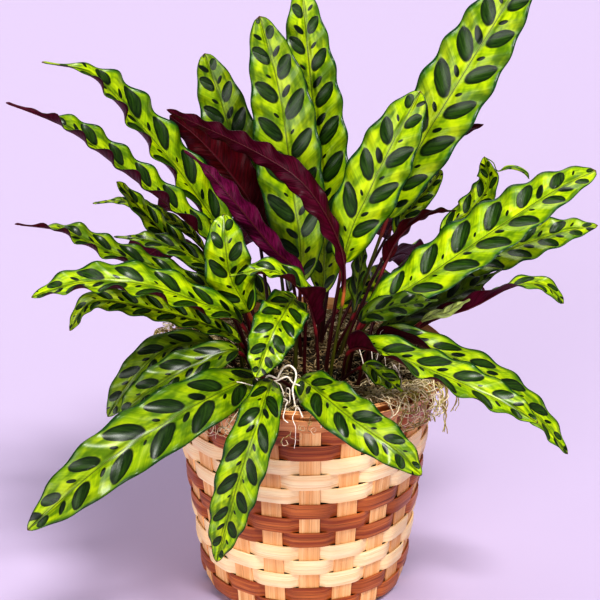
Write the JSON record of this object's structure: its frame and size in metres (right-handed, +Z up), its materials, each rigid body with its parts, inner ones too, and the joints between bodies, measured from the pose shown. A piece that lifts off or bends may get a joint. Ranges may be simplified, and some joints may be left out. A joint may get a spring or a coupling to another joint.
{
  "type": "potted calathea",
  "caption": "Long waved leaves on slim stalks rise and arch from a moss-covered pot inside a round woven chip basket.",
  "frame": {"origin": "middle of the flat underside of the basket", "axes": "+Z up along the basket's axis, -Y towards the front as in the picture, +X to the right of the front"},
  "size_m": [0.3715, 0.3164, 0.4064],
  "materials": {
    "stake_chip": "satin",
    "light_chip": "satin",
    "dark_chip": "satin",
    "pot_plastic": "matte",
    "soil_earth": "matte",
    "moss_fibre": "matte",
    "leaf_green": "satin",
    "leaf_purple": "satin"
  },
  "bodies": {
    "root": {"basket_stakes": "stake_chip", "basket_strip_1": "dark_chip", "basket_strip_2": "dark_chip", "basket_strip_3": "light_chip", "basket_strip_4": "light_chip", "basket_strip_5": "light_chip", "basket_strip_6": "dark_chip", "basket_strip_7": "dark_chip", "basket_strip_8": "dark_chip", "basket_strip_9": "light_chip", "basket_strip_10": "light_chip", "basket_strip_11": "light_chip", "basket_strip_12": "dark_chip", "basket_strip_13": "dark_chip", "basket_rim": "light_chip", "nursery_pot": "pot_plastic", "soil": "soil_earth", "moss": "moss_fibre", "leaf_tall_1": "leaf_green", "leaf_tall_2": "leaf_green", "leaf_tall_3": "leaf_green", "leaf_tall_4": "leaf_green", "leaf_tall_5": "leaf_green", "leaf_young_1": "leaf_green", "leaf_young_2": "leaf_green", "leaf_turned_1": "leaf_purple", "leaf_turned_2": "leaf_purple", "leaf_turned_wide": "leaf_purple", "leaf_turned_arched": "leaf_purple", "leaf_turned_waved": "leaf_purple", "leaf_right_1": "leaf_green", "leaf_right_2": "leaf_green", "leaf_right_3": "leaf_green", "leaf_right_4": "leaf_green", "leaf_right_5": "leaf_green", "leaf_right_6": "leaf_green", "leaf_rolled": "leaf_green", "leaf_low_right_1": "leaf_green", "leaf_low_right_2": "leaf_green", "leaf_small_front": "leaf_green", "leaf_left_1": "leaf_green", "leaf_left_2": "leaf_green", "leaf_left_3": "leaf_green", "leaf_left_4": "leaf_green", "leaf_left_5": "leaf_green", "leaf_left_6": "leaf_green", "leaf_left_7": "leaf_green", "leaf_middle_1": "leaf_green", "leaf_middle_2": "leaf_green", "leaf_middle_3": "leaf_green", "leaf_front_1": "leaf_green", "leaf_front_2": "leaf_green", "leaf_front_3": "leaf_green", "leaf_front_4": "leaf_green", "leaf_low_left_1": "leaf_green", "leaf_low_left_2": "leaf_green", "leaves_back_1": "leaf_green", "leaves_back_2": "leaf_green", "leaves_back_3": "leaf_green", "leaves_back_4": "leaf_green"}
  },
  "joints": []
}
